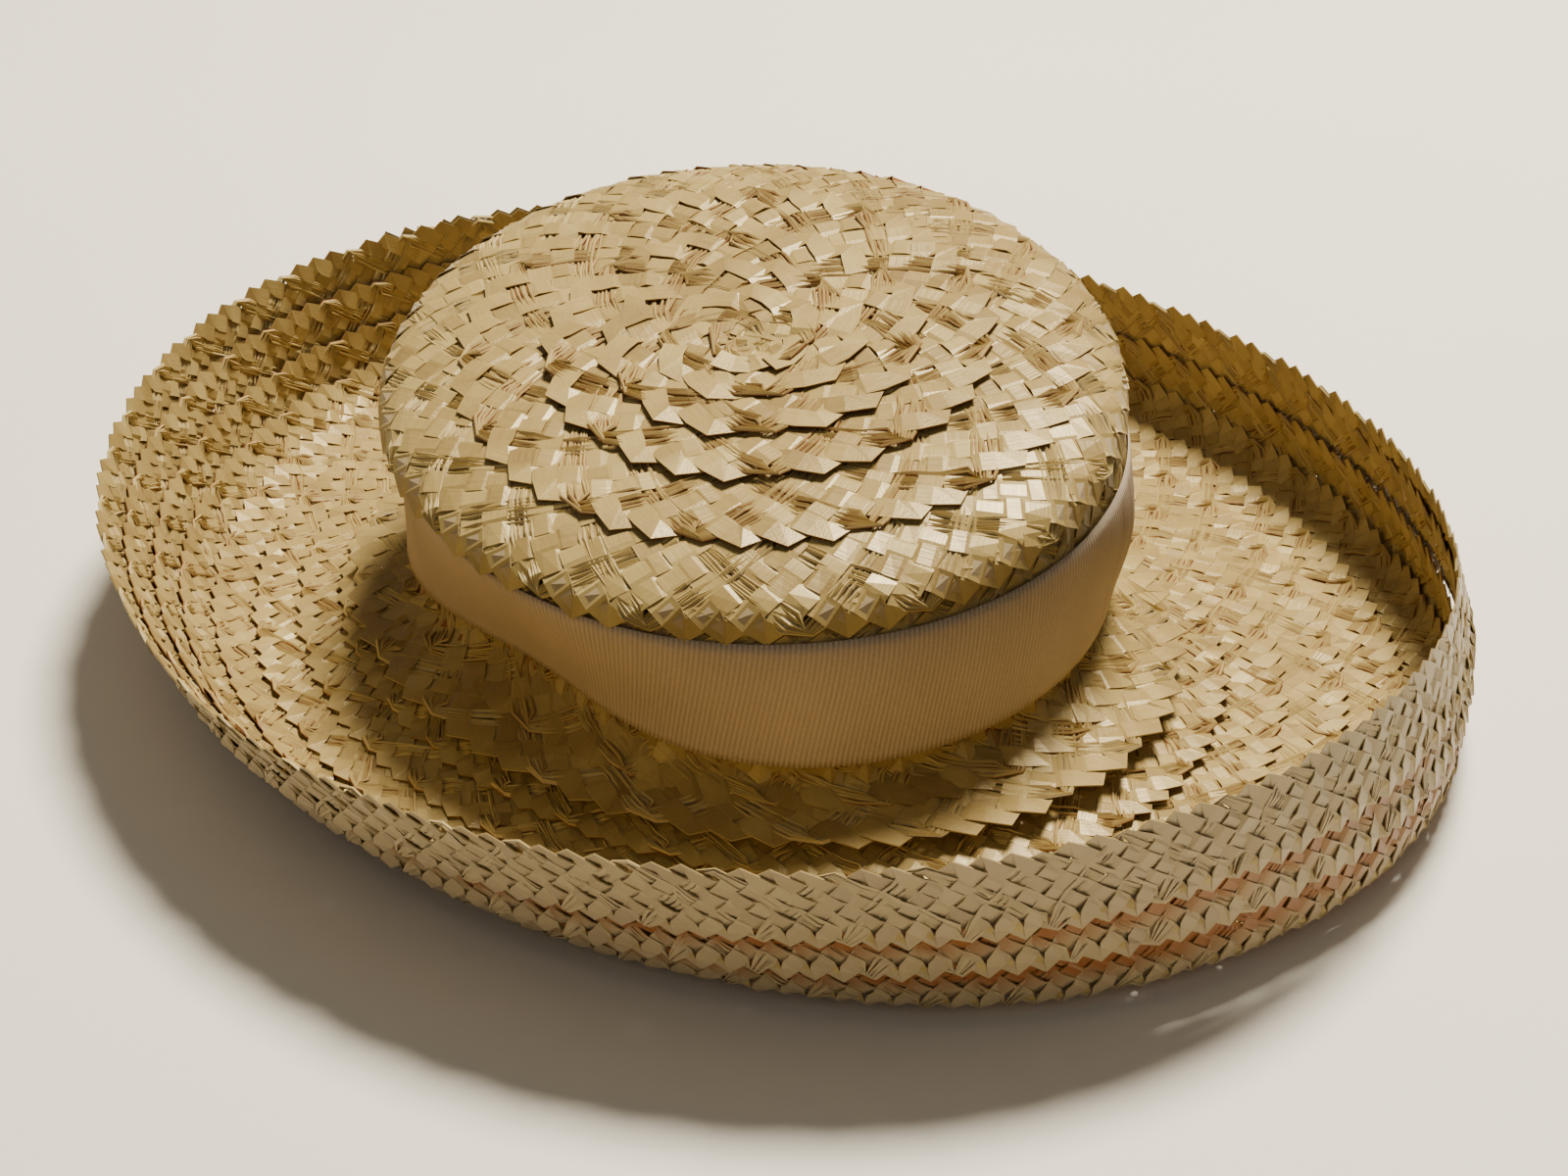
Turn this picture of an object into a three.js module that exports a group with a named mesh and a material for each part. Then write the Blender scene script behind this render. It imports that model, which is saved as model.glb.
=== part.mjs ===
import * as THREE from 'three';

// A sewn straw-braid hat with a flat crown, a ribbon round it and a brim turned up all round.
// Millimetres, +Z up. The front of the hat faces -Y and its left side faces -X.

// Straw and ribbon
const STRAW_THICKNESS = 1.8;
const COURSE_LAP = 0.8;
const PIECE_GAP = 0.3;
const RIBBON_THICKNESS = 0.9;
const RIBBON_EASE = 0.4;
const RIBBON_ROWS = 4;

// Courses of braid in each piece
const TIP_COURSES = 6;
const SIDE_COURSES = 5;
const BRIM_COURSES = 8;

// Flats across the width of a course
const TIP_SPANS = 1;
const SIDE_SPANS = 2;
const BRIM_SPANS = 1;

// The brim is centred on the origin and the crown stands a little off its middle.
const CROWN_SIDE = -1;
const CROWN_BACK = 3;

// The crown top slopes down towards the left of the hat.
const TOP_RISE_SIDE = 0.16;
const TOP_RISE_BACK = 0.055;

// The side of the crown is pushed in on the left.
const DENT_AZIMUTH = THREE.MathUtils.degToRad(178);
const DENT_HALF_WIDTH = THREE.MathUtils.degToRad(40);

const RING_STEPS = 60;
const SLOPE_STEP = 0.004;

// Each row is an oval ring: half length (Y), half width (X), middle (side, back), height,
// slope (riseSide, riseBack), extra height at front and back (riseEnds), depth of the dent and
// how far the dent pushes the ring up (dentLift).
const RING = {
  side: 0, back: 0, riseSide: 0, riseBack: 0, riseEnds: 0, dent: 0, dentLift: 0,
};
const TOP = {
  side: CROWN_SIDE, back: CROWN_BACK + 2, riseSide: TOP_RISE_SIDE, riseBack: TOP_RISE_BACK,
};
const SIDE = { side: CROWN_SIDE, back: CROWN_BACK };
const BAND = { side: CROWN_SIDE, back: CROWN_BACK - 1 };
const WAIST = { side: CROWN_SIDE - 1.7, back: CROWN_BACK + 2 };

const TIP_RINGS = [
  { ...RING, ...TOP, at: 'middle', length: 1, width: 1, height: 70 },
  { ...RING, ...TOP, at: 'flat', length: 40, width: 37, height: 69.2 },
  { ...RING, ...TOP, at: 'turn', length: 71, width: 65, height: 66.6 },
  { ...RING, ...TOP, at: 'edge', length: 83, width: 75.5, height: 61.5 },
];

const SIDE_RINGS = [
  { ...RING, ...TOP, at: 'under_tip', length: 78.5, width: 71.5, height: 61.3 },
  {
    ...RING, ...BAND, at: 'ribbon_top', length: 79.5, width: 75.5, height: 52,
    riseSide: 0.075, riseBack: 0.03, dent: 2,
  },
  {
    ...RING, ...WAIST, at: 'ribbon_bottom', length: 79.5, width: 77, height: 16,
    riseSide: 0.03, riseBack: -0.015, dent: 20, dentLift: 3,
  },
  {
    ...RING, ...WAIST, at: 'waist', length: 79.5, width: 77, height: 12,
    riseSide: 0.02, riseBack: -0.01, dent: 18, dentLift: 2,
  },
  { ...RING, ...SIDE, at: 'foot', length: 88, width: 78, height: 8.6, dent: 9 },
  { ...RING, ...SIDE, at: 'flare', length: 99, width: 83, height: 7.8 },
];

const BRIM_RINGS = [
  { ...RING, ...SIDE, at: 'head_edge', length: 87, width: 71, height: 6.2 },
  { ...RING, ...SIDE, at: 'floor_in', length: 110, width: 88, height: 0.6 },
  { ...RING, at: 'floor_out', length: 140, width: 117, side: 10, back: -1.5, height: 0.6 },
  { ...RING, at: 'crease', length: 149.5, width: 127, side: 10.5, back: -2, height: 6 },
  {
    ...RING, at: 'wall', length: 152.3, width: 133.3, side: 4.6, back: -0.8, height: 23,
    riseSide: -0.01, riseBack: -0.01, riseEnds: 2,
  },
  {
    ...RING, at: 'rim', length: 153.5, width: 138, side: -0.95, back: 0.47, height: 39,
    riseSide: -0.021, riseBack: -0.02, riseEnds: 4,
  },
];

function dentAt(angle) {
  const turn = Math.atan2(Math.sin(angle - DENT_AZIMUTH), Math.cos(angle - DENT_AZIMUTH));
  return Math.exp(-((turn / DENT_HALF_WIDTH) ** 2));
}

function ringPoint(row, angle) {
  const pushed = dentAt(angle);
  const pushedIn = row.dent * pushed;
  const x = (row.width - pushedIn) * Math.cos(angle);
  const y = (row.length - pushedIn) * Math.sin(angle);
  const slope = row.riseSide * x + row.riseBack * y;
  const ends = -row.riseEnds * Math.cos(2 * angle);
  const z = row.height + slope + ends + row.dentLift * pushed;
  return new THREE.Vector3(row.side + x, row.back + y, z);
}

function sectionOf(rings) {
  return (angle) => new THREE.CatmullRomCurve3(rings.map((row) => ringPoint(row, angle)));
}

// The part of a section that lies between two of its rings.
function partOfSection(rings, first, last, spans) {
  const whole = sectionOf(rings);
  const place = (at) => rings.findIndex((row) => row.at === at) / (rings.length - 1);
  const stops = Array.from({ length: spans + 1 }, (unused, stop) => stop / spans);
  return (angle) => {
    const curve = whole(angle);
    const points = stops.map((stop) => curve.getPoint(THREE.MathUtils.lerp(place(first), place(last), stop)));
    return new THREE.CatmullRomCurve3(points);
  };
}

// Point of the sheet at a fraction of the way along the section, moved out along its normal.
function sheetPoint(section, angle, along, lift) {
  const here = section(angle);
  const before = section(angle - SLOPE_STEP).getPointAt(along);
  const after = section(angle + SLOPE_STEP).getPointAt(along);
  const round = after.sub(before);
  const normal = here.getTangentAt(along).cross(round).normalize();
  return here.getPointAt(along).addScaledVector(normal, lift);
}

// Nothing goes below the surface the hat stands on.
function aboveTable(point) {
  return point.setZ(Math.max(point.z, 0));
}

// The lapped upper face: every course rises to its free edge, then drops to the next one.
function lappedProfile(courses, spans) {
  const profile = [];
  for (let course = 0; course < courses; course += 1) {
    for (let span = 0; span <= spans; span += 1) {
      const rise = COURSE_LAP * (span / spans);
      profile.push({ along: (course + span / spans) / courses, lift: STRAW_THICKNESS / 2 + rise });
    }
  }
  return profile;
}

// The same courses seen from below, where each one rises towards the one inside it.
function lappedUnderside(courses, spans) {
  return lappedProfile(courses, spans)
    .map(({ along, lift }) => ({ along: 1 - along, lift: -lift }))
    .reverse();
}

function smoothProfile(rows, lift) {
  return Array.from({ length: rows + 1 }, (unused, row) => ({ along: row / rows, lift }));
}

function meshOf(name, positions, faces, material) {
  const geometry = new THREE.BufferGeometry();
  const flat = positions.flatMap((point) => [point.x, point.y, point.z]);
  geometry.setAttribute('position', new THREE.Float32BufferAttribute(flat, 3));
  geometry.setIndex(faces);
  geometry.computeVertexNormals();
  const mesh = new THREE.Mesh(geometry, material);
  mesh.name = name;
  return mesh;
}

function ringOfProfile(section, profile) {
  const positions = [];
  for (let step = 0; step < RING_STEPS; step += 1) {
    const angle = (2 * Math.PI * step) / RING_STEPS;
    for (const { along, lift } of profile) {
      positions.push(aboveTable(sheetPoint(section, angle, along, lift)));
    }
  }
  return positions;
}

function stripFaces(count, spans) {
  const faces = [];
  for (let step = 0; step < RING_STEPS; step += 1) {
    const next = (step + 1) % RING_STEPS;
    for (let row = 0; row < spans; row += 1) {
      const below = (row + 1) % count;
      const a = step * count + row;
      const b = step * count + below;
      const c = next * count + below;
      const d = next * count + row;
      faces.push(a, b, c, a, c, d);
    }
  }
  return faces;
}

// A sheet that runs round an opening: upper face out, lower face back.
function openSheet(name, section, upper, lower, material) {
  const profile = [...upper, ...lower.reverse()];
  const positions = ringOfProfile(section, profile);
  return meshOf(name, positions, stripFaces(profile.length, profile.length), material);
}

// A sheet that closes over its middle.
function closedSheet(name, rings, upper, lower, material) {
  const profile = [...upper.slice(1), ...lower.slice(1).reverse()];
  const count = profile.length;
  const positions = ringOfProfile(sectionOf(rings), profile);
  const faces = stripFaces(count, count - 1);
  const middle = rings[0];
  const top = positions.length;
  positions.push(new THREE.Vector3(middle.side, middle.back, middle.height + upper[0].lift));
  positions.push(new THREE.Vector3(middle.side, middle.back, middle.height + lower[0].lift));
  for (let step = 0; step < RING_STEPS; step += 1) {
    const next = (step + 1) % RING_STEPS;
    faces.push(top, step * count, next * count);
    faces.push(top + 1, next * count + count - 1, step * count + count - 1);
  }
  return meshOf(name, positions, faces, material);
}

const straw = new THREE.MeshStandardMaterial({ color: 0xc8a468, roughness: 0.55, metalness: 0 });
const ribbon = new THREE.MeshStandardMaterial({ color: 0xd9b48c, roughness: 0.8, metalness: 0 });

const under = -STRAW_THICKNESS / 2;
const ribbonInside = STRAW_THICKNESS / 2 + COURSE_LAP + PIECE_GAP + RIBBON_EASE;
const bandSection = partOfSection(SIDE_RINGS, 'ribbon_top', 'ribbon_bottom', RIBBON_ROWS);

const hat = new THREE.Group();
hat.name = 'upturned_brim_straw_hat';
hat.add(closedSheet(
  'crown_tip',
  TIP_RINGS,
  lappedProfile(TIP_COURSES, TIP_SPANS),
  smoothProfile(TIP_COURSES, under),
  straw,
));
hat.add(openSheet(
  'crown_side',
  sectionOf(SIDE_RINGS),
  lappedProfile(SIDE_COURSES, SIDE_SPANS),
  smoothProfile(SIDE_COURSES * SIDE_SPANS, under),
  straw,
));
hat.add(openSheet(
  'brim',
  sectionOf(BRIM_RINGS),
  lappedProfile(BRIM_COURSES, BRIM_SPANS),
  lappedUnderside(BRIM_COURSES, BRIM_SPANS),
  straw,
));
hat.add(openSheet(
  'hat_band',
  bandSection,
  smoothProfile(RIBBON_ROWS, ribbonInside + RIBBON_THICKNESS),
  smoothProfile(RIBBON_ROWS, ribbonInside),
  ribbon,
));

export default hat;
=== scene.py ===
import math

import bpy
import numpy as np
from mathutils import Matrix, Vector


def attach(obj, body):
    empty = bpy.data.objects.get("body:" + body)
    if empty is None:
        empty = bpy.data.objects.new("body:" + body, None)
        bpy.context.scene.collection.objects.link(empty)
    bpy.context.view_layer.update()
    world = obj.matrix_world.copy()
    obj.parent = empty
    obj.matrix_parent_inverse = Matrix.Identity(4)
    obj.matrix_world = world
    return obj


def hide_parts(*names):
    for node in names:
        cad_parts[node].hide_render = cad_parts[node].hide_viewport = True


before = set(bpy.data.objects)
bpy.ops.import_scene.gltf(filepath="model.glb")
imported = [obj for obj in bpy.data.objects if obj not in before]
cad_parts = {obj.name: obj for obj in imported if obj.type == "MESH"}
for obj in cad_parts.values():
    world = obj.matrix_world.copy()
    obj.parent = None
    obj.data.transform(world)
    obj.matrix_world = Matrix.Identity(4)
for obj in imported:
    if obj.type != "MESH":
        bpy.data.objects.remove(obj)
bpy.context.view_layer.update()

MM = 0.001
TAU = 2 * math.pi

# Where the crown stands on the brim, how its top slopes and where its side is pushed in, as in the solids.
CROWN_SIDE, CROWN_BACK = -1.0, 3.0
TOP_RISE_SIDE, TOP_RISE_BACK = 0.16, 0.055
DENT_AZIMUTH, DENT_HALF_WIDTH = math.radians(178), math.radians(40)

# The plait: seven flat straws woven at 45 degrees, two of them shredded into fibres.
STRAWS = 7
SHREDDED = (0, 3)
FLAT_HALF = 0.29  # half the flat at a crossing, as a share of the way to the next
FIBRES = 9
CROWN_PLAIT = 25.0 * MM
BRIM_PLAIT = 18.5 * MM
WEAVE_RISE = 0.26 * MM
TIP_TILT, SIDE_TILT, BRIM_TILT = 1.25 * MM, 0.55 * MM, 1.4 * MM
EDGE_FLARE = 1.0 * MM
TABLE_GAP = 0.1 * MM
STRAW_THICKNESS = 0.30 * MM
FIBRE_WIDTH = 0.95 * MM

# The ribbon: its stand-off from the side's middle surface is given at its top and bottom edge.
RIBBON_COLUMNS, RIBBON_ROWS = 1880, 14
FOLD_DEPTH = 2.4 * MM
RIB_PITCH = 1.05 * MM
RIB_HEIGHT = 0.16 * MM
RIBBON_THICKNESS = 0.4 * MM
RIBBON_STAND_OFF = (1.1 * MM, 2.5 * MM)

# Painted shade on the straw: a greyer colour on the side that lies underneath, and a dark brown in the recess
# below each course's edge.
UNDERSIDE_PAINTED_SHADE = (0.35, 0.275, 0.185, 1)
RECESS_PAINTED_SHADE = (0.24, 0.085, 0.022, 1)

# Camera: seen over the hat's left front, with a long lens.
EYE = Vector((-0.3881, -0.3926, 0.3621))
AIM = Vector((0.01385, 0.00936, 0.0))
LENS, SENSOR = 67.5, 36.0


def ring(length, width, height, side=0.0, back=0.0, rise_side=0.0, rise_back=0.0,
         rise_ends=0.0, dent=0.0, dent_lift=0.0):
    """One oval ring of a section, in millimetres."""
    return dict(length=length, width=width, height=height, side=side, back=back, rise_side=rise_side,
                rise_back=rise_back, rise_ends=rise_ends, dent=dent, dent_lift=dent_lift)


TOP = dict(side=CROWN_SIDE, back=CROWN_BACK + 2, rise_side=TOP_RISE_SIDE, rise_back=TOP_RISE_BACK)
SIDE = dict(side=CROWN_SIDE, back=CROWN_BACK)
BAND = dict(side=CROWN_SIDE, back=CROWN_BACK - 1)
WAIST = dict(side=CROWN_SIDE - 1.7, back=CROWN_BACK + 2)
TIP_RINGS = [
    ring(1, 1, 70, **TOP),
    ring(40, 37, 69.2, **TOP),
    ring(72, 66, 66.8, **TOP),
    ring(82, 74.6, 63.3, **TOP),
    ring(83.4, 75.9, 59.4, **TOP),
]
RIBBON_TOP = ring(79.5, 75.5, 52, rise_side=0.075, rise_back=0.03, dent=2, **BAND)
RIBBON_BOTTOM = ring(79.5, 77, 16, rise_side=0.03, rise_back=-0.015, dent=20, dent_lift=3, **WAIST)
SIDE_RINGS = [
    ring(78.5, 71.5, 61.3, **TOP),
    RIBBON_TOP,
    RIBBON_BOTTOM,
    ring(79.5, 77, 12, rise_side=0.02, rise_back=-0.01, dent=18, dent_lift=2, **WAIST),
    ring(88, 78, 8.6, dent=9, **SIDE),
    ring(99, 83, 7.8, **SIDE),
]
BRIM_RINGS = [
    ring(87, 71, 6.2, **SIDE),
    ring(110, 88, 1.2, **SIDE),
    ring(140, 117, 1.2, side=10, back=-1.5),
    ring(149.5, 127, 6, side=10.5, back=-2),
    ring(152.3, 133.3, 23, side=4.6, back=-0.8, rise_side=-0.01, rise_back=-0.01, rise_ends=2),
    ring(153.5, 138, 39, side=-0.95, back=0.47, rise_side=-0.021, rise_back=-0.02, rise_ends=4),
]

# Outer edge of each course as a share of its section, from the middle out.
TIP_EDGES = (0.10, 0.22, 0.36, 0.52, 0.74, 0.995)
SIDE_EDGES = (0.26, 0.46, 0.64, 0.82, 1.0)
BRIM_EDGES = (0.17, 0.29, 0.41, 0.53, 0.65, 0.77, 0.885, 1.0)
SEAM_AZIMUTH = math.radians(60)
TAIL_TURN = 0.12


def dent_at(angle):
    turn = np.arctan2(np.sin(angle - DENT_AZIMUTH), np.cos(angle - DENT_AZIMUTH))
    return np.exp(-((turn / DENT_HALF_WIDTH) ** 2))


def ring_points(row, angle):
    pushed = dent_at(angle)
    x = (row["width"] - row["dent"] * pushed) * np.cos(angle)
    y = (row["length"] - row["dent"] * pushed) * np.sin(angle)
    z = row["height"] + row["rise_side"] * x + row["rise_back"] * y
    z = z - row["rise_ends"] * np.cos(2 * angle) + row["dent_lift"] * pushed
    return np.stack([row["side"] + x, row["back"] + y, z], -1) * MM


def section_points(knots, per_span):
    """Smooth section through the rings at every angle: knots is angles x rings x 3."""
    first = 2 * knots[:, :1] - knots[:, 1:2]
    last = 2 * knots[:, -1:] - knots[:, -2:-1]
    p = np.concatenate([first, knots, last], 1)
    gap = np.linalg.norm(np.diff(p, axis=1), axis=2, keepdims=True) ** 0.5
    t = np.linspace(0, 1, per_span, endpoint=False)[None, None, :, None]
    a, b, c, d = p[:, :-3, None], p[:, 1:-2, None], p[:, 2:-1, None], p[:, 3:, None]
    g0, g1, g2 = gap[:, :-2, None], gap[:, 1:-1, None], gap[:, 2:, None]
    m1 = g1 * ((b - a) / g0 - (c - a) / (g0 + g1) + (c - b) / g1)
    m2 = g1 * ((c - b) / g1 - (d - b) / (g1 + g2) + (d - c) / g2)
    curve = (b + m1 * t + (-3 * b + 3 * c - 2 * m1 - m2) * t ** 2 + (2 * b - 2 * c + m1 + m2) * t ** 3)
    return np.concatenate([curve.reshape(len(knots), -1, 3), knots[:, -1:]], 1)


class Sheet:
    """A surface of the hat: a section at every angle, measured along its length."""

    def __init__(self, rings, angles=540, steps=220, first=0, last=None):
        self.angles, self.steps = angles, steps
        turn = np.linspace(0, TAU, angles + 1)
        knots = np.stack([ring_points(row, turn) for row in rings], 1)
        per_span = 40
        fine = section_points(knots, per_span)
        last = len(rings) - 1 if last is None else last
        fine = fine[:, first * per_span:last * per_span + 1]
        run = np.concatenate(
            [np.zeros((len(fine), 1)), np.cumsum(np.linalg.norm(np.diff(fine, axis=1), axis=2), 1)], 1)
        self.reach = run[:, -1]
        share = np.linspace(0, 1, steps + 1)
        grid = np.empty((angles + 1, steps + 1, 3))
        for row in range(angles + 1):
            for axis in range(3):
                grid[row, :, axis] = np.interp(share * run[row, -1], run[row], fine[row, :, axis])
        self.grid = grid
        along = np.gradient(grid, axis=1)
        wrapped = np.concatenate([grid[-2:-1], grid, grid[1:2]], 0)
        around = (wrapped[2:] - wrapped[:-2]) / 2
        normal = np.cross(along, around)
        self.normal = normal / np.linalg.norm(normal, axis=2, keepdims=True)
        self.along = along / np.linalg.norm(along, axis=2, keepdims=True)

    def reach_at(self, angle):
        return np.interp(np.mod(angle, TAU), np.linspace(0, TAU, self.angles + 1), self.reach)

    def at(self, angle, distance):
        """Point and normal at an angle and a distance along the section."""
        reach = self.reach_at(angle)
        share = np.clip(distance / reach, 0, 1)
        past = distance - share * reach
        a = np.mod(angle, TAU) / TAU * self.angles
        v = share * self.steps
        i = np.minimum(a.astype(int), self.angles - 1)
        j = np.minimum(v.astype(int), self.steps - 1)
        fa, fv = (a - i)[:, None], (v - j)[:, None]

        def mixed(table):
            low = table[i, j] * (1 - fv) + table[i, j + 1] * fv
            high = table[i + 1, j] * (1 - fv) + table[i + 1, j + 1] * fv
            return low * (1 - fa) + high * fa

        normal = mixed(self.normal)
        normal /= np.linalg.norm(normal, axis=1, keepdims=True)
        return mixed(self.grid) + mixed(self.along) * past[:, None], normal


class Course:
    """The plait's path: turn after turn outwards, each turn's edge at a stated share of the section.

    tilt raises the outer edge over the next course, flare bends the inner edge out below,
    last_tilt is the share of the tilt left on the last turn.
    """

    def __init__(self, sheet, edges, plait, tilt, seed, flare=0.0, last_tilt=1.0):
        self.sheet, self.plait, self.seed, self.turns = sheet, plait, seed, len(edges)
        steps = 720
        total = np.arange(int((self.turns + TAIL_TURN) * steps) + 1) / steps
        k = np.minimum(total.astype(int), self.turns - 1)
        part = np.clip((total - k - 0.45) / 0.55, 0, 1)
        part = part * part * (3 - 2 * part)
        stops = np.array(list(edges) + [edges[-1]])
        self.angle = SEAM_AZIMUTH + total * TAU
        reach = sheet.reach_at(self.angle)
        edge = (stops[k] + (stops[k + 1] - stops[k]) * part) * reach
        self.half = np.minimum(plait / 2, (edge - 0.4 * MM) / 2)
        self.middle = edge - self.half
        point, _ = sheet.at(self.angle, self.middle)
        self.run = np.concatenate([[0], np.cumsum(np.linalg.norm(np.diff(point, axis=0), axis=1))])
        self.turn = total
        ease = np.clip(total - self.turns + 1.6, 0, 1)
        self.tilt = tilt * (1 + (last_tilt - 1) * ease)
        self.flare = flare
        self.sunk = 0.8 * MM * np.clip((total - self.turns) / 0.02, 0, 1)

    def length_at(self, turn):
        return np.interp(turn, self.turn, self.run)

    def place(self, run, across, lift):
        """Points and normals at a length along the plait, a place across it from -1 to 1, and a lift."""
        angle = np.interp(run, self.run, self.angle)
        half = np.interp(run, self.run, self.half)
        middle = np.interp(run, self.run, self.middle)
        distance = np.maximum(middle + across * half, 0.5 * MM)
        point, normal = self.sheet.at(angle, distance)
        point = point + normal * lift[:, None]
        point[:, 2] = np.maximum(point[:, 2], 0.5 * MM)
        return point, normal


def smooth_noise(rng, count, spacing):
    """Even wandering values from -1 to 1."""
    knots = rng.uniform(-1, 1, int(count / spacing) + 4)
    at = np.arange(count) / spacing
    i = at.astype(int)
    f = at - i
    f = f * f * (3 - 2 * f)
    return knots[i] * (1 - f) + knots[i + 1] * f


def straw_lines(course, first_turn, last_turn, seed):
    """The middle lines of every straw and fibre in a stretch of plait, with what each point carries."""
    rng = np.random.default_rng(seed)
    period = 2 * course.plait
    begin, end = course.length_at(first_turn), course.length_at(last_turn)
    lines = []
    # One straw's places across the plait: the fold, then both ends of the flat at each crossing.
    stops = np.array([0.0] + [(n + d) / STRAWS for n in range(1, STRAWS) for d in (-FLAT_HALF, FLAT_HALF)])
    signs = np.array([0.0] + [(-1.0) ** n for n in range(1, STRAWS) for _ in (0, 1)])
    crossing = np.array([0] + [n for n in range(1, STRAWS) for _ in (0, 1)])
    wander = smooth_noise(np.random.default_rng(course.seed + 7), 4000, 9)
    curl = smooth_noise(np.random.default_rng(course.seed + 11), 4000, 5)
    for straw in range(STRAWS):
        offset = straw / STRAWS
        low, high = math.ceil(2 * (begin / period + offset)), math.ceil(2 * (end / period + offset))
        if high - low < 2:
            continue
        traverse = np.append(np.repeat(np.arange(low, high), len(stops)), high)
        q = np.append(np.tile(stops, high - low), 0.0)
        weave = np.append(np.tile(signs, high - low), 0.0)
        cross = np.append(np.tile(crossing, high - low), 0)
        run = ((traverse + q) / 2 - offset) * period
        way = np.where(traverse % 2 == 0, 1.0, -1.0)
        station = np.clip((run / 0.01).astype(int), 0, 3990)
        tilt = np.interp(run, course.run, course.tilt)
        across = way * (2 * q - 1) * 0.93 + 0.05 * wander[station]
        lift = weave * WEAVE_RISE + across * tilt - course.flare * np.clip(-across, 0, 2) ** 3
        lift = lift + curl[station] * 0.45 * tilt * across ** 2 - np.interp(run, course.run, course.sunk)
        lift = lift + rng.normal(0, 0.10 * MM, len(lift))
        count = high - low + 1
        patches = rng.uniform(0, 1, (count, STRAWS)) * 0.45 + rng.uniform(0, 1, (count, 1)) * 0.55
        tone = patches[traverse - low, cross]
        tooth = np.where(q == 0, 0.0, 1.0)
        keep = np.append(np.tile(np.arange(len(stops)) % 2 == 0, high - low), True)
        if straw in SHREDDED:
            for fibre in range(FIBRES):
                side = (fibre - (FIBRES - 1) / 2) / FIBRES
                drift = (side + 0.2 * smooth_noise(rng, len(q), 5)) * (0.5 + 0.55 * tooth)
                shift = drift * period / STRAWS / 2
                fluff = 0.22 * MM * smooth_noise(rng, len(q), 3) + 0.12 * MM
                lines.append(dict(
                    run=(run - way * shift)[keep], across=(across + shift / (course.plait / 2))[keep],
                    lift=(lift + fluff)[keep], span=np.ones(keep.sum()),
                    tone=np.full(keep.sum(), rng.uniform(0.3, 1.0)), fibre=1.0))
        else:
            span = np.where(q == 0, 0.66, 1.0) * (1 + 0.05 * smooth_noise(rng, len(q), 9))
            lines.append(dict(run=run, across=across, lift=lift, span=span, tone=tone, fibre=0.0))
    points, normals, spans, tones, fibres, alongs, edges = [], [], [], [], [], [], []
    count = 0
    for line in lines:
        point, normal = course.place(line["run"], line["across"], line["lift"])
        points.append(point)
        normals.append(normal)
        spans.append(line["span"])
        tones.append(line["tone"])
        alongs.append(line["run"])
        fibres.append(np.full(len(point), line["fibre"]))
        ids = np.arange(count, count + len(point))
        edges.append(np.stack([ids[:-1], ids[1:]], 1))
        count += len(point)
    last = course.length_at(course.turns - 1)
    laps = np.concatenate([np.where(line["run"] < last, line["across"], -1.0) for line in lines])
    return dict(point=np.concatenate(points), lap=laps, lie=np.concatenate(normals), span=np.concatenate(spans),
                tone=np.concatenate(tones), fibre=np.concatenate(fibres), along=np.concatenate(alongs),
                edges=np.concatenate(edges))


class Wire:
    """A node's output, usable in sums and products."""

    def __init__(self, bench, socket):
        self.bench, self.socket = bench, socket

    def math(self, operation, other, swap=False):
        first, second = (other, self) if swap else (self, other)
        return self.bench.node("ShaderNodeMath", dict(operation=operation), {0: first, 1: second})

    def __add__(self, other):
        return self.math("ADD", other)

    def __radd__(self, other):
        return self.math("ADD", other, True)

    def __sub__(self, other):
        return self.math("SUBTRACT", other)

    def __rsub__(self, other):
        return self.math("SUBTRACT", other, True)

    def __mul__(self, other):
        return self.math("MULTIPLY", other)

    def __rmul__(self, other):
        return self.math("MULTIPLY", other, True)


class Bench:
    """Adds nodes to one tree."""

    def __init__(self, tree):
        self.tree = tree

    def node(self, kind, settings=None, sockets=None, out=0):
        made = self.tree.nodes.new(kind)
        for name, value in (settings or {}).items():
            if name == "stops":
                ramp = made.color_ramp
                while len(ramp.elements) < len(value):
                    ramp.elements.new(1.0)
                for element, (place, colour) in zip(ramp.elements, value):
                    element.position, element.color = place, colour
            else:
                setattr(made, name, value)
        for name, value in (sockets or {}).items():
            if isinstance(value, Wire):
                self.tree.links.new(value.socket, made.inputs[name])
            else:
                made.inputs[name].default_value = value
        return None if out is None else Wire(self, made.outputs[out])


def new_material(name):
    material = bpy.data.materials.new(name)
    material.use_nodes = True
    material.node_tree.nodes.clear()
    return material, Bench(material.node_tree)


def finish_material(bench, base, roughness, normal, **constants):
    sockets = {"Base Color": base, "Roughness": roughness, "Normal": normal, **constants}
    shader = bench.node("ShaderNodeBsdfPrincipled", None, sockets)
    bench.node("ShaderNodeOutputMaterial", None, {"Surface": shader}, None)


def mixed_colour(bench, factor, first, second):
    return bench.node("ShaderNodeMix", dict(data_type="RGBA"), {0: factor, 6: first, 7: second}, 2)


def attribute(bench, name):
    return bench.node("ShaderNodeAttribute", dict(attribute_name=name), None, 2)


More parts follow.
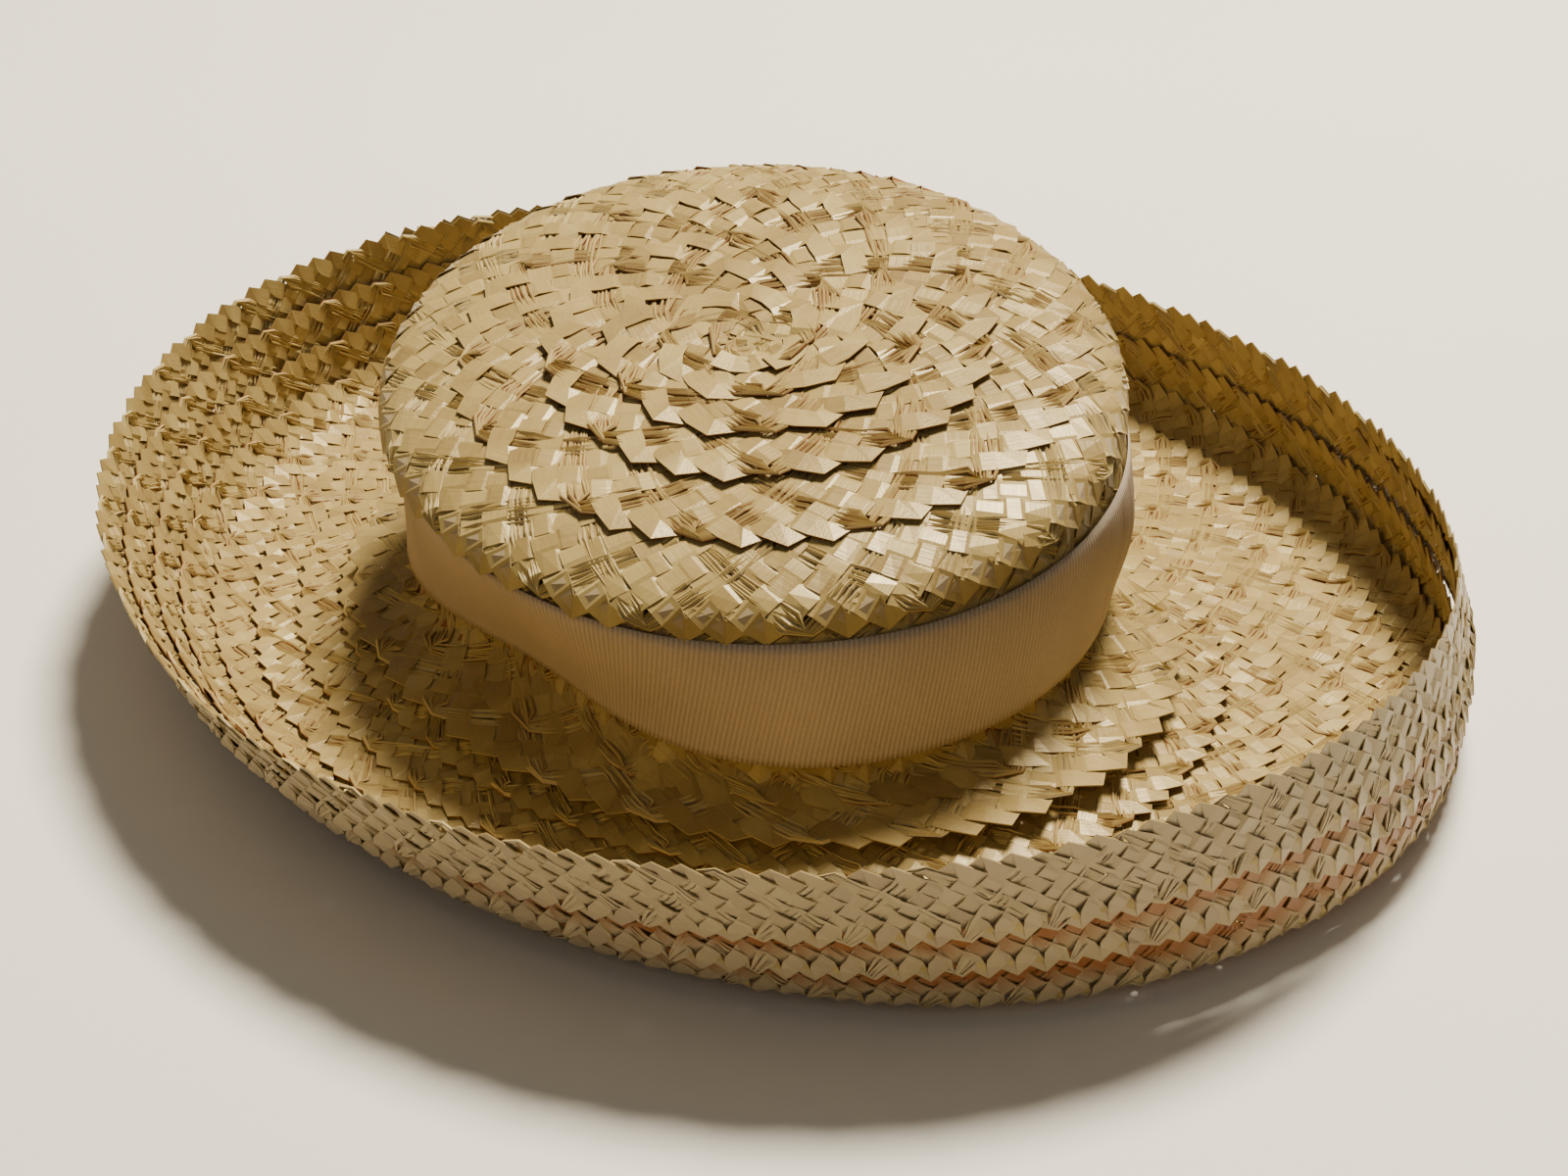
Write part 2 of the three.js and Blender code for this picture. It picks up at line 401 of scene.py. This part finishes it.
def straw_material():
    material, bench = new_material("straw_braid")
    spot = bench.node("ShaderNodeTexCoord", None, None, 3)
    tone, fibre = attribute(bench, "tone"), attribute(bench, "fibre")
    across, along = attribute(bench, "across"), attribute(bench, "along")
    upper, lap = attribute(bench, "upper"), attribute(bench, "lap")
    grain_place = bench.node("ShaderNodeCombineXYZ", None, {0: across * 5.0, 1: along * 60.0, 2: tone * 31.0})
    grain = bench.node("ShaderNodeTexNoise", None,
                       {"Vector": grain_place, "Scale": 1.6, "Detail": 3.0, "Roughness": 0.6})
    patch = bench.node("ShaderNodeTexNoise", None, {"Vector": spot, "Scale": 22.0, "Detail": 2.0})
    under = bench.node("ShaderNodeClamp", None, {0: upper * -4.0 + 0.5})
    shade = tone * 0.50 + grain * 0.30 + patch * 0.30 + fibre * 0.12 - 0.06
    colour = bench.node("ShaderNodeValToRGB", dict(stops=[
        (0.10, (0.190, 0.120, 0.040, 1)),
        (0.38, (0.325, 0.228, 0.078, 1)),
        (0.62, (0.430, 0.318, 0.115, 1)),
        (0.90, (0.570, 0.445, 0.180, 1)),
    ]), {0: shade})
    # Painted shade: on the side that lies underneath, the recess below each course's edge is mixed toward dark
    # brown.
    recess_shade_mask = bench.node("ShaderNodeMapRange", None, {"Value": lap, "From Min": -0.6, "From Max": -0.15})
    # Painted shade: the side that lies underneath is mixed toward a greyer colour.
    colour = mixed_colour(bench, under * 0.65, colour, UNDERSIDE_PAINTED_SHADE)
    colour = mixed_colour(bench, under * recess_shade_mask, colour, RECESS_PAINTED_SHADE)
    roughness = 0.22 + grain * 0.18 + fibre * 0.18
    bump = bench.node("ShaderNodeBump", None, {"Strength": 0.35, "Distance": 0.0002, "Height": grain})
    finish_material(bench, colour, roughness, bump,
                    **{"Specular IOR Level": 0.5, "Specular Tint": (1.0, 0.83, 0.50, 1)})
    return material


def ribbon_material():
    material, bench = new_material("ribbon_grosgrain")
    spot = bench.node("ShaderNodeTexCoord", None, None, 3)
    along, rise = attribute(bench, "along"), attribute(bench, "across")
    thread_place = bench.node("ShaderNodeCombineXYZ", None, {0: along * 900.0, 1: rise * 60.0, 2: 0.0})
    thread = bench.node("ShaderNodeTexNoise", None, {"Vector": thread_place, "Scale": 1.0, "Detail": 2.0})
    patch = bench.node("ShaderNodeTexNoise", None, {"Vector": spot, "Scale": 30.0, "Detail": 2.0})
    # Painted shade: the colour darkens in the grooves between the cross ribs and lightens on their crests.
    rib_painted_shade = bench.node("ShaderNodeMath", dict(operation="SINE"), {0: along * (TAU / RIB_PITCH)})
    shade = thread * 0.35 + patch * 0.45 + rib_painted_shade * 0.16 + 0.08
    colour = bench.node("ShaderNodeValToRGB", dict(stops=[
        (0.15, (0.325, 0.245, 0.165, 1)),
        (0.50, (0.480, 0.380, 0.270, 1)),
        (0.85, (0.600, 0.490, 0.360, 1)),
    ]), {0: shade})
    roughness = 0.55 + thread * 0.2
    bump = bench.node("ShaderNodeBump", None, {"Strength": 0.3, "Distance": 0.0001, "Height": thread})
    finish_material(bench, colour, roughness, bump)
    return material


def floor_material():
    material, bench = new_material("table_top")
    spot = bench.node("ShaderNodeTexCoord", None, None, 3)
    patch = bench.node("ShaderNodeTexNoise", None, {"Vector": spot, "Scale": 4.0, "Detail": 2.0})
    colour = bench.node("ShaderNodeValToRGB", dict(stops=[
        (0.3, (0.905, 0.870, 0.760, 1)), (0.7, (0.935, 0.900, 0.790, 1))]), {0: patch})
    bump = bench.node("ShaderNodeBump", None, {"Strength": 0.02, "Distance": 0.0002, "Height": patch})
    finish_material(bench, colour, 0.6 + patch * 0.1, bump)
    return material


def mesh_from(name, points, edges=(), faces=(), **carried):
    mesh = bpy.data.meshes.new(name)
    mesh.from_pydata([], [], [])
    mesh.vertices.add(len(points))
    mesh.vertices.foreach_set("co", np.asarray(points, np.float32).ravel())
    if len(edges):
        mesh.edges.add(len(edges))
        mesh.edges.foreach_set("vertices", np.asarray(edges, np.int32).ravel())
    if len(faces):
        faces = np.asarray(faces, np.int32)
        mesh.loops.add(faces.size)
        mesh.loops.foreach_set("vertex_index", faces.ravel())
        mesh.polygons.add(len(faces))
        mesh.polygons.foreach_set("loop_start", np.arange(len(faces), dtype=np.int32) * faces.shape[1])
        mesh.polygons.foreach_set("loop_total", np.full(len(faces), faces.shape[1], np.int32))
    for key, values in carried.items():
        values = np.asarray(values, np.float32)
        kind, field = ("FLOAT_VECTOR", "vector") if values.ndim == 2 else ("FLOAT", "value")
        mesh.attributes.new(key, kind, "POINT").data.foreach_set(field, values.ravel())
    mesh.update(calc_edges=bool(len(faces)))
    made = bpy.data.objects.new(name, mesh)
    bpy.context.scene.collection.objects.link(made)
    return made


def new_tree(name, inputs):
    """A Geometry Nodes tree with named inputs."""
    tree = bpy.data.node_groups.new(name, "GeometryNodeTree")
    tree.interface.new_socket("Geometry", in_out="INPUT", socket_type="NodeSocketGeometry")
    for label, kind, value in inputs:
        socket = tree.interface.new_socket(label, in_out="INPUT", socket_type=kind)
        if value is not None:
            socket.default_value = value
    tree.interface.new_socket("Geometry", in_out="OUTPUT", socket_type="NodeSocketGeometry")
    bench = Bench(tree)
    entry = tree.nodes.new("NodeGroupInput")
    given = {socket.name: Wire(bench, socket) for socket in entry.outputs if socket.name}
    return tree, bench, given


def end_tree(bench, geometry, material):
    real = bench.node("GeometryNodeRealizeInstances", None, {0: geometry})
    dressed = bench.node("GeometryNodeSetMaterial", None, {0: real, "Material": material})
    bench.tree.links.new(dressed.socket, bench.tree.nodes.new("NodeGroupOutput").inputs[0])


def named(bench, name, kind="FLOAT"):
    return bench.node("GeometryNodeInputNamedAttribute", dict(data_type=kind), {"Name": name})


def braid_tree():
    """Sweeps flat straws and fine fibres along their lines."""
    tree, bench, given = new_tree("braid", [
        ("Straw width", "NodeSocketFloat", 0.0046), ("Straw thickness", "NodeSocketFloat", STRAW_THICKNESS),
        ("Fibre width", "NodeSocketFloat", FIBRE_WIDTH), ("Straw", "NodeSocketMaterial", None)])
    shredded = bench.node("FunctionNodeCompare", dict(data_type="FLOAT", operation="GREATER_THAN"),
                          {0: named(bench, "fibre"), 1: 0.5})
    parted = bench.node("GeometryNodeSeparateGeometry", dict(domain="POINT"),
                        {0: given["Geometry"], "Selection": shredded})
    whole = Wire(bench, parted.socket.node.outputs[1])
    swept = []
    flat = bench.node("GeometryNodeCurvePrimitiveQuadrilateral", dict(mode="RECTANGLE"),
                      {"Width": 1.0, "Height": 1.0})
    round_three = bench.node("GeometryNodeCurvePrimitiveCircle", dict(mode="RADIUS"),
                             {"Resolution": 3, "Radius": 0.5})
    for lines, wide, thick, outline in (
            (whole, given["Straw width"], given["Straw thickness"], flat),
            (parted, given["Fibre width"], given["Fibre width"] * 0.6, round_three)):
        curve = bench.node("GeometryNodeMeshToCurve", None, {0: lines})
        curve = bench.node("GeometryNodeSetCurveNormal", dict(mode="FREE"),
                           {0: curve, "Normal": named(bench, "lie", "FLOAT_VECTOR")})
        curve = bench.node("GeometryNodeSetCurveRadius", None, {0: curve, "Radius": named(bench, "span")})
        place = bench.node("GeometryNodeInputPosition")
        for name, axis in (("upper", 0), ("across", 1)):
            value = bench.node("ShaderNodeSeparateXYZ", None, {0: place}, axis)
            outline = bench.node("GeometryNodeStoreNamedAttribute", dict(data_type="FLOAT", domain="POINT"),
                                 {0: outline, "Name": name, "Value": value})
        size = bench.node("ShaderNodeCombineXYZ", None, {0: thick, 1: wide, 2: 1.0})
        outline = bench.node("GeometryNodeTransform", None, {0: outline, "Scale": size})
        made = bench.node("GeometryNodeCurveToMesh", None, {0: curve, 1: outline, "Fill Caps": True})
        swept.append(bench.node("GeometryNodeSetShadeSmooth", None, {0: made, "Shade Smooth": False}))
    both = tree.nodes.new("GeometryNodeJoinGeometry")
    for part in reversed(swept):
        tree.links.new(part.socket, both.inputs[0])
    end_tree(bench, Wire(bench, both.outputs[0]), given["Straw"])
    return tree


def grown(name, base, tree, **values):
    """The base object with a tree run on it, as a plain mesh."""
    modifier = base.modifiers.new("made", "NODES")
    modifier.node_group = tree
    sockets = {item.name: item.identifier for item in tree.interface.items_tree
               if item.item_type == "SOCKET" and item.in_out == "INPUT"}
    for key, value in values.items():
        modifier[sockets[key.replace("_", " ").capitalize()]] = value
    graph = bpy.context.evaluated_depsgraph_get()
    mesh = bpy.data.meshes.new_from_object(base.evaluated_get(graph))
    made = bpy.data.objects.new(name, mesh)
    bpy.context.scene.collection.objects.link(made)
    bpy.data.objects.remove(base)
    return made


def braid_piece(name, course, first_turn, last_turn, tree, straw):
    lines = straw_lines(course, first_turn, last_turn, course.seed + first_turn)
    edges, points = lines.pop("edges"), lines.pop("point")
    base = mesh_from(name + "_lines", points, edges, **lines)
    piece = grown(name, base, tree, straw_width=course.plait / STRAWS * 1.5, straw=straw)
    place = np.empty(len(piece.data.vertices) * 3, np.float32)
    piece.data.vertices.foreach_get("co", place)
    place[2::3] = np.maximum(place[2::3], TABLE_GAP)
    piece.data.vertices.foreach_set("co", place)
    piece.data.update()
    return piece


def band_base(sheet):
    """The ribbon's sheet round the crown, front and back face, with soft folds on one side."""
    columns, rows = RIBBON_COLUMNS, RIBBON_ROWS
    angle = np.arange(columns) / columns * TAU
    share = np.linspace(0, 1, rows + 1)
    a, v = (grid.ravel() for grid in np.meshgrid(angle, share, indexing="ij"))
    reach = sheet.reach_at(a)
    point, normal = sheet.at(a, v * reach)
    fold_place = np.exp(-((np.mod(a + 0.75 + math.pi, TAU) - math.pi) / 0.55) ** 2)
    fold = (0.5 + 0.5 * np.sin(9 * a - 4.0 * v)) * fold_place * np.sin(math.pi * v) ** 0.7
    stand_off = RIBBON_STAND_OFF[0] + (RIBBON_STAND_OFF[1] - RIBBON_STAND_OFF[0]) * v ** 0.6
    point = point + normal * (stand_off + FOLD_DEPTH * fold)[:, None]
    ring_length = np.linalg.norm(np.diff(point.reshape(columns, rows + 1, 3)[:, rows // 2], axis=0), axis=1)
    along = np.concatenate([[0], np.cumsum(ring_length)])
    ribs = round((along[-1] + ring_length[-1]) / RIB_PITCH)
    phase = np.repeat(along / (along[-1] + ring_length[-1]) * ribs, rows + 1)
    back = point - normal * (RIBBON_THICKNESS * np.clip(0.4 + 6 * np.minimum(v, 1 - v), 0, 1))[:, None]
    count = columns * (rows + 1)
    i = np.arange(columns)[:, None] * (rows + 1)
    k = (np.arange(columns)[:, None] + 1) % columns * (rows + 1)
    j = np.arange(rows)[None]
    front = np.stack([i + j, i + j + 1, k + j + 1, k + j], -1).reshape(-1, 4)
    rear = front[:, ::-1] + count
    i, k = i[:, 0], k[:, 0]
    top = np.stack([i, k, k + count, i + count], -1)
    low = np.stack([i + rows, i + rows + count, k + rows + count, k + rows], -1)
    return mesh_from("ribbon_base", np.concatenate([point, back]), (), np.concatenate([front, rear, top, low]),
                     phase=np.tile(phase, 2), face=np.repeat([1.0, 0.2], count),
                     out=np.concatenate([normal, normal]), across=np.tile(v, 2),
                     along=np.tile(phase * RIB_PITCH, 2))


def ribbon_tree():
    """Raises the ribbon's cross ribs."""
    tree, bench, given = new_tree("grosgrain_ribs", [
        ("Rib height", "NodeSocketFloat", RIB_HEIGHT), ("Ribbon", "NodeSocketMaterial", None)])
    turn = named(bench, "phase") * TAU
    wave = bench.node("ShaderNodeMath", dict(operation="SINE"), {0: turn})
    lift = wave * named(bench, "face") * given["Rib height"]
    shift = bench.node("ShaderNodeVectorMath", dict(operation="SCALE"),
                       {0: named(bench, "out", "FLOAT_VECTOR"), "Scale": lift})
    ribbed = bench.node("GeometryNodeSetPosition", None, {0: given["Geometry"], "Offset": shift})
    smooth = bench.node("GeometryNodeSetShadeSmooth", None, {0: ribbed})
    end_tree(bench, smooth, given["Ribbon"])
    return tree


def area_lamp(name, place, aim, size, power, colour):
    lamp = bpy.data.lights.new(name, "AREA")
    lamp.shape, lamp.size, lamp.energy, lamp.color = "DISK", size, power, colour
    made = bpy.data.objects.new(name, lamp)
    made.location = place
    made.rotation_euler = (Vector(aim) - Vector(place)).to_track_quat("-Z", "Y").to_euler()
    bpy.context.scene.collection.objects.link(made)


def studio():
    camera = bpy.data.objects.new("camera", bpy.data.cameras.new("camera"))
    camera.data.lens, camera.data.sensor_width, camera.data.sensor_fit = LENS, SENSOR, "HORIZONTAL"
    camera.data.clip_start, camera.data.clip_end = 0.01, 20
    camera.location = EYE
    camera.rotation_euler = (AIM - EYE).to_track_quat("-Z", "Y").to_euler()
    bpy.context.scene.collection.objects.link(camera)
    bpy.context.scene.camera = camera
    half = 6.0
    floor = mesh_from("table", [(-half, -half, 0), (half, -half, 0), (half, half, 0), (-half, half, 0)], (),
                      [(0, 1, 2, 3)])
    floor.data.materials.append(floor_material())
    area_lamp("window", (0.66, 0.22, 1.45), (0, 0, 0), 0.5, 68, (1.0, 0.91, 0.76))
    area_lamp("room", (-1.2, -1.0, 1.4), (0, 0, 0), 1.6, 2, (1.0, 0.95, 0.88))
    world = bpy.data.worlds.new("room_light")
    world.use_nodes = True
    background = world.node_tree.nodes["Background"]
    background.inputs["Color"].default_value = (1.0, 0.95, 0.88, 1)
    background.inputs["Strength"].default_value = 0.13
    bpy.context.scene.world = world


def build_hat():
    straw, grosgrain, braid = straw_material(), ribbon_material(), braid_tree()
    tip = Course(Sheet(TIP_RINGS), TIP_EDGES, CROWN_PLAIT, TIP_TILT, 3, last_tilt=0.1)
    side = Course(Sheet(SIDE_RINGS), SIDE_EDGES, CROWN_PLAIT, SIDE_TILT, 40)
    brim = Course(Sheet(BRIM_RINGS), BRIM_EDGES, BRIM_PLAIT, BRIM_TILT, 80, flare=EDGE_FLARE)
    tail = 0.045
    pieces = [
        (braid_piece("crown_tip_braid", tip, 0, tip.turns + tail, braid, straw), "crown_tip"),
        (braid_piece("crown_side_braid", side, 0, side.turns + tail, braid, straw), "crown_side"),
        (braid_piece("brim_floor_braid", brim, 0, 3, braid, straw), "brim"),
        (braid_piece("brim_turn_braid", brim, 3, 6, braid, straw), "brim"),
        (braid_piece("brim_rim_braid", brim, 6, brim.turns + tail, braid, straw), "brim"),
    ]
    for piece, node in pieces:
        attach(piece, "root")
        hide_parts(node)
    band = grown("ribbon_band", band_base(Sheet(SIDE_RINGS, first=1, last=2)), ribbon_tree(), ribbon=grosgrain)
    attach(band, "root")
    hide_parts("hat_band")


studio()
build_hat()
bpy.context.view_layer.update()
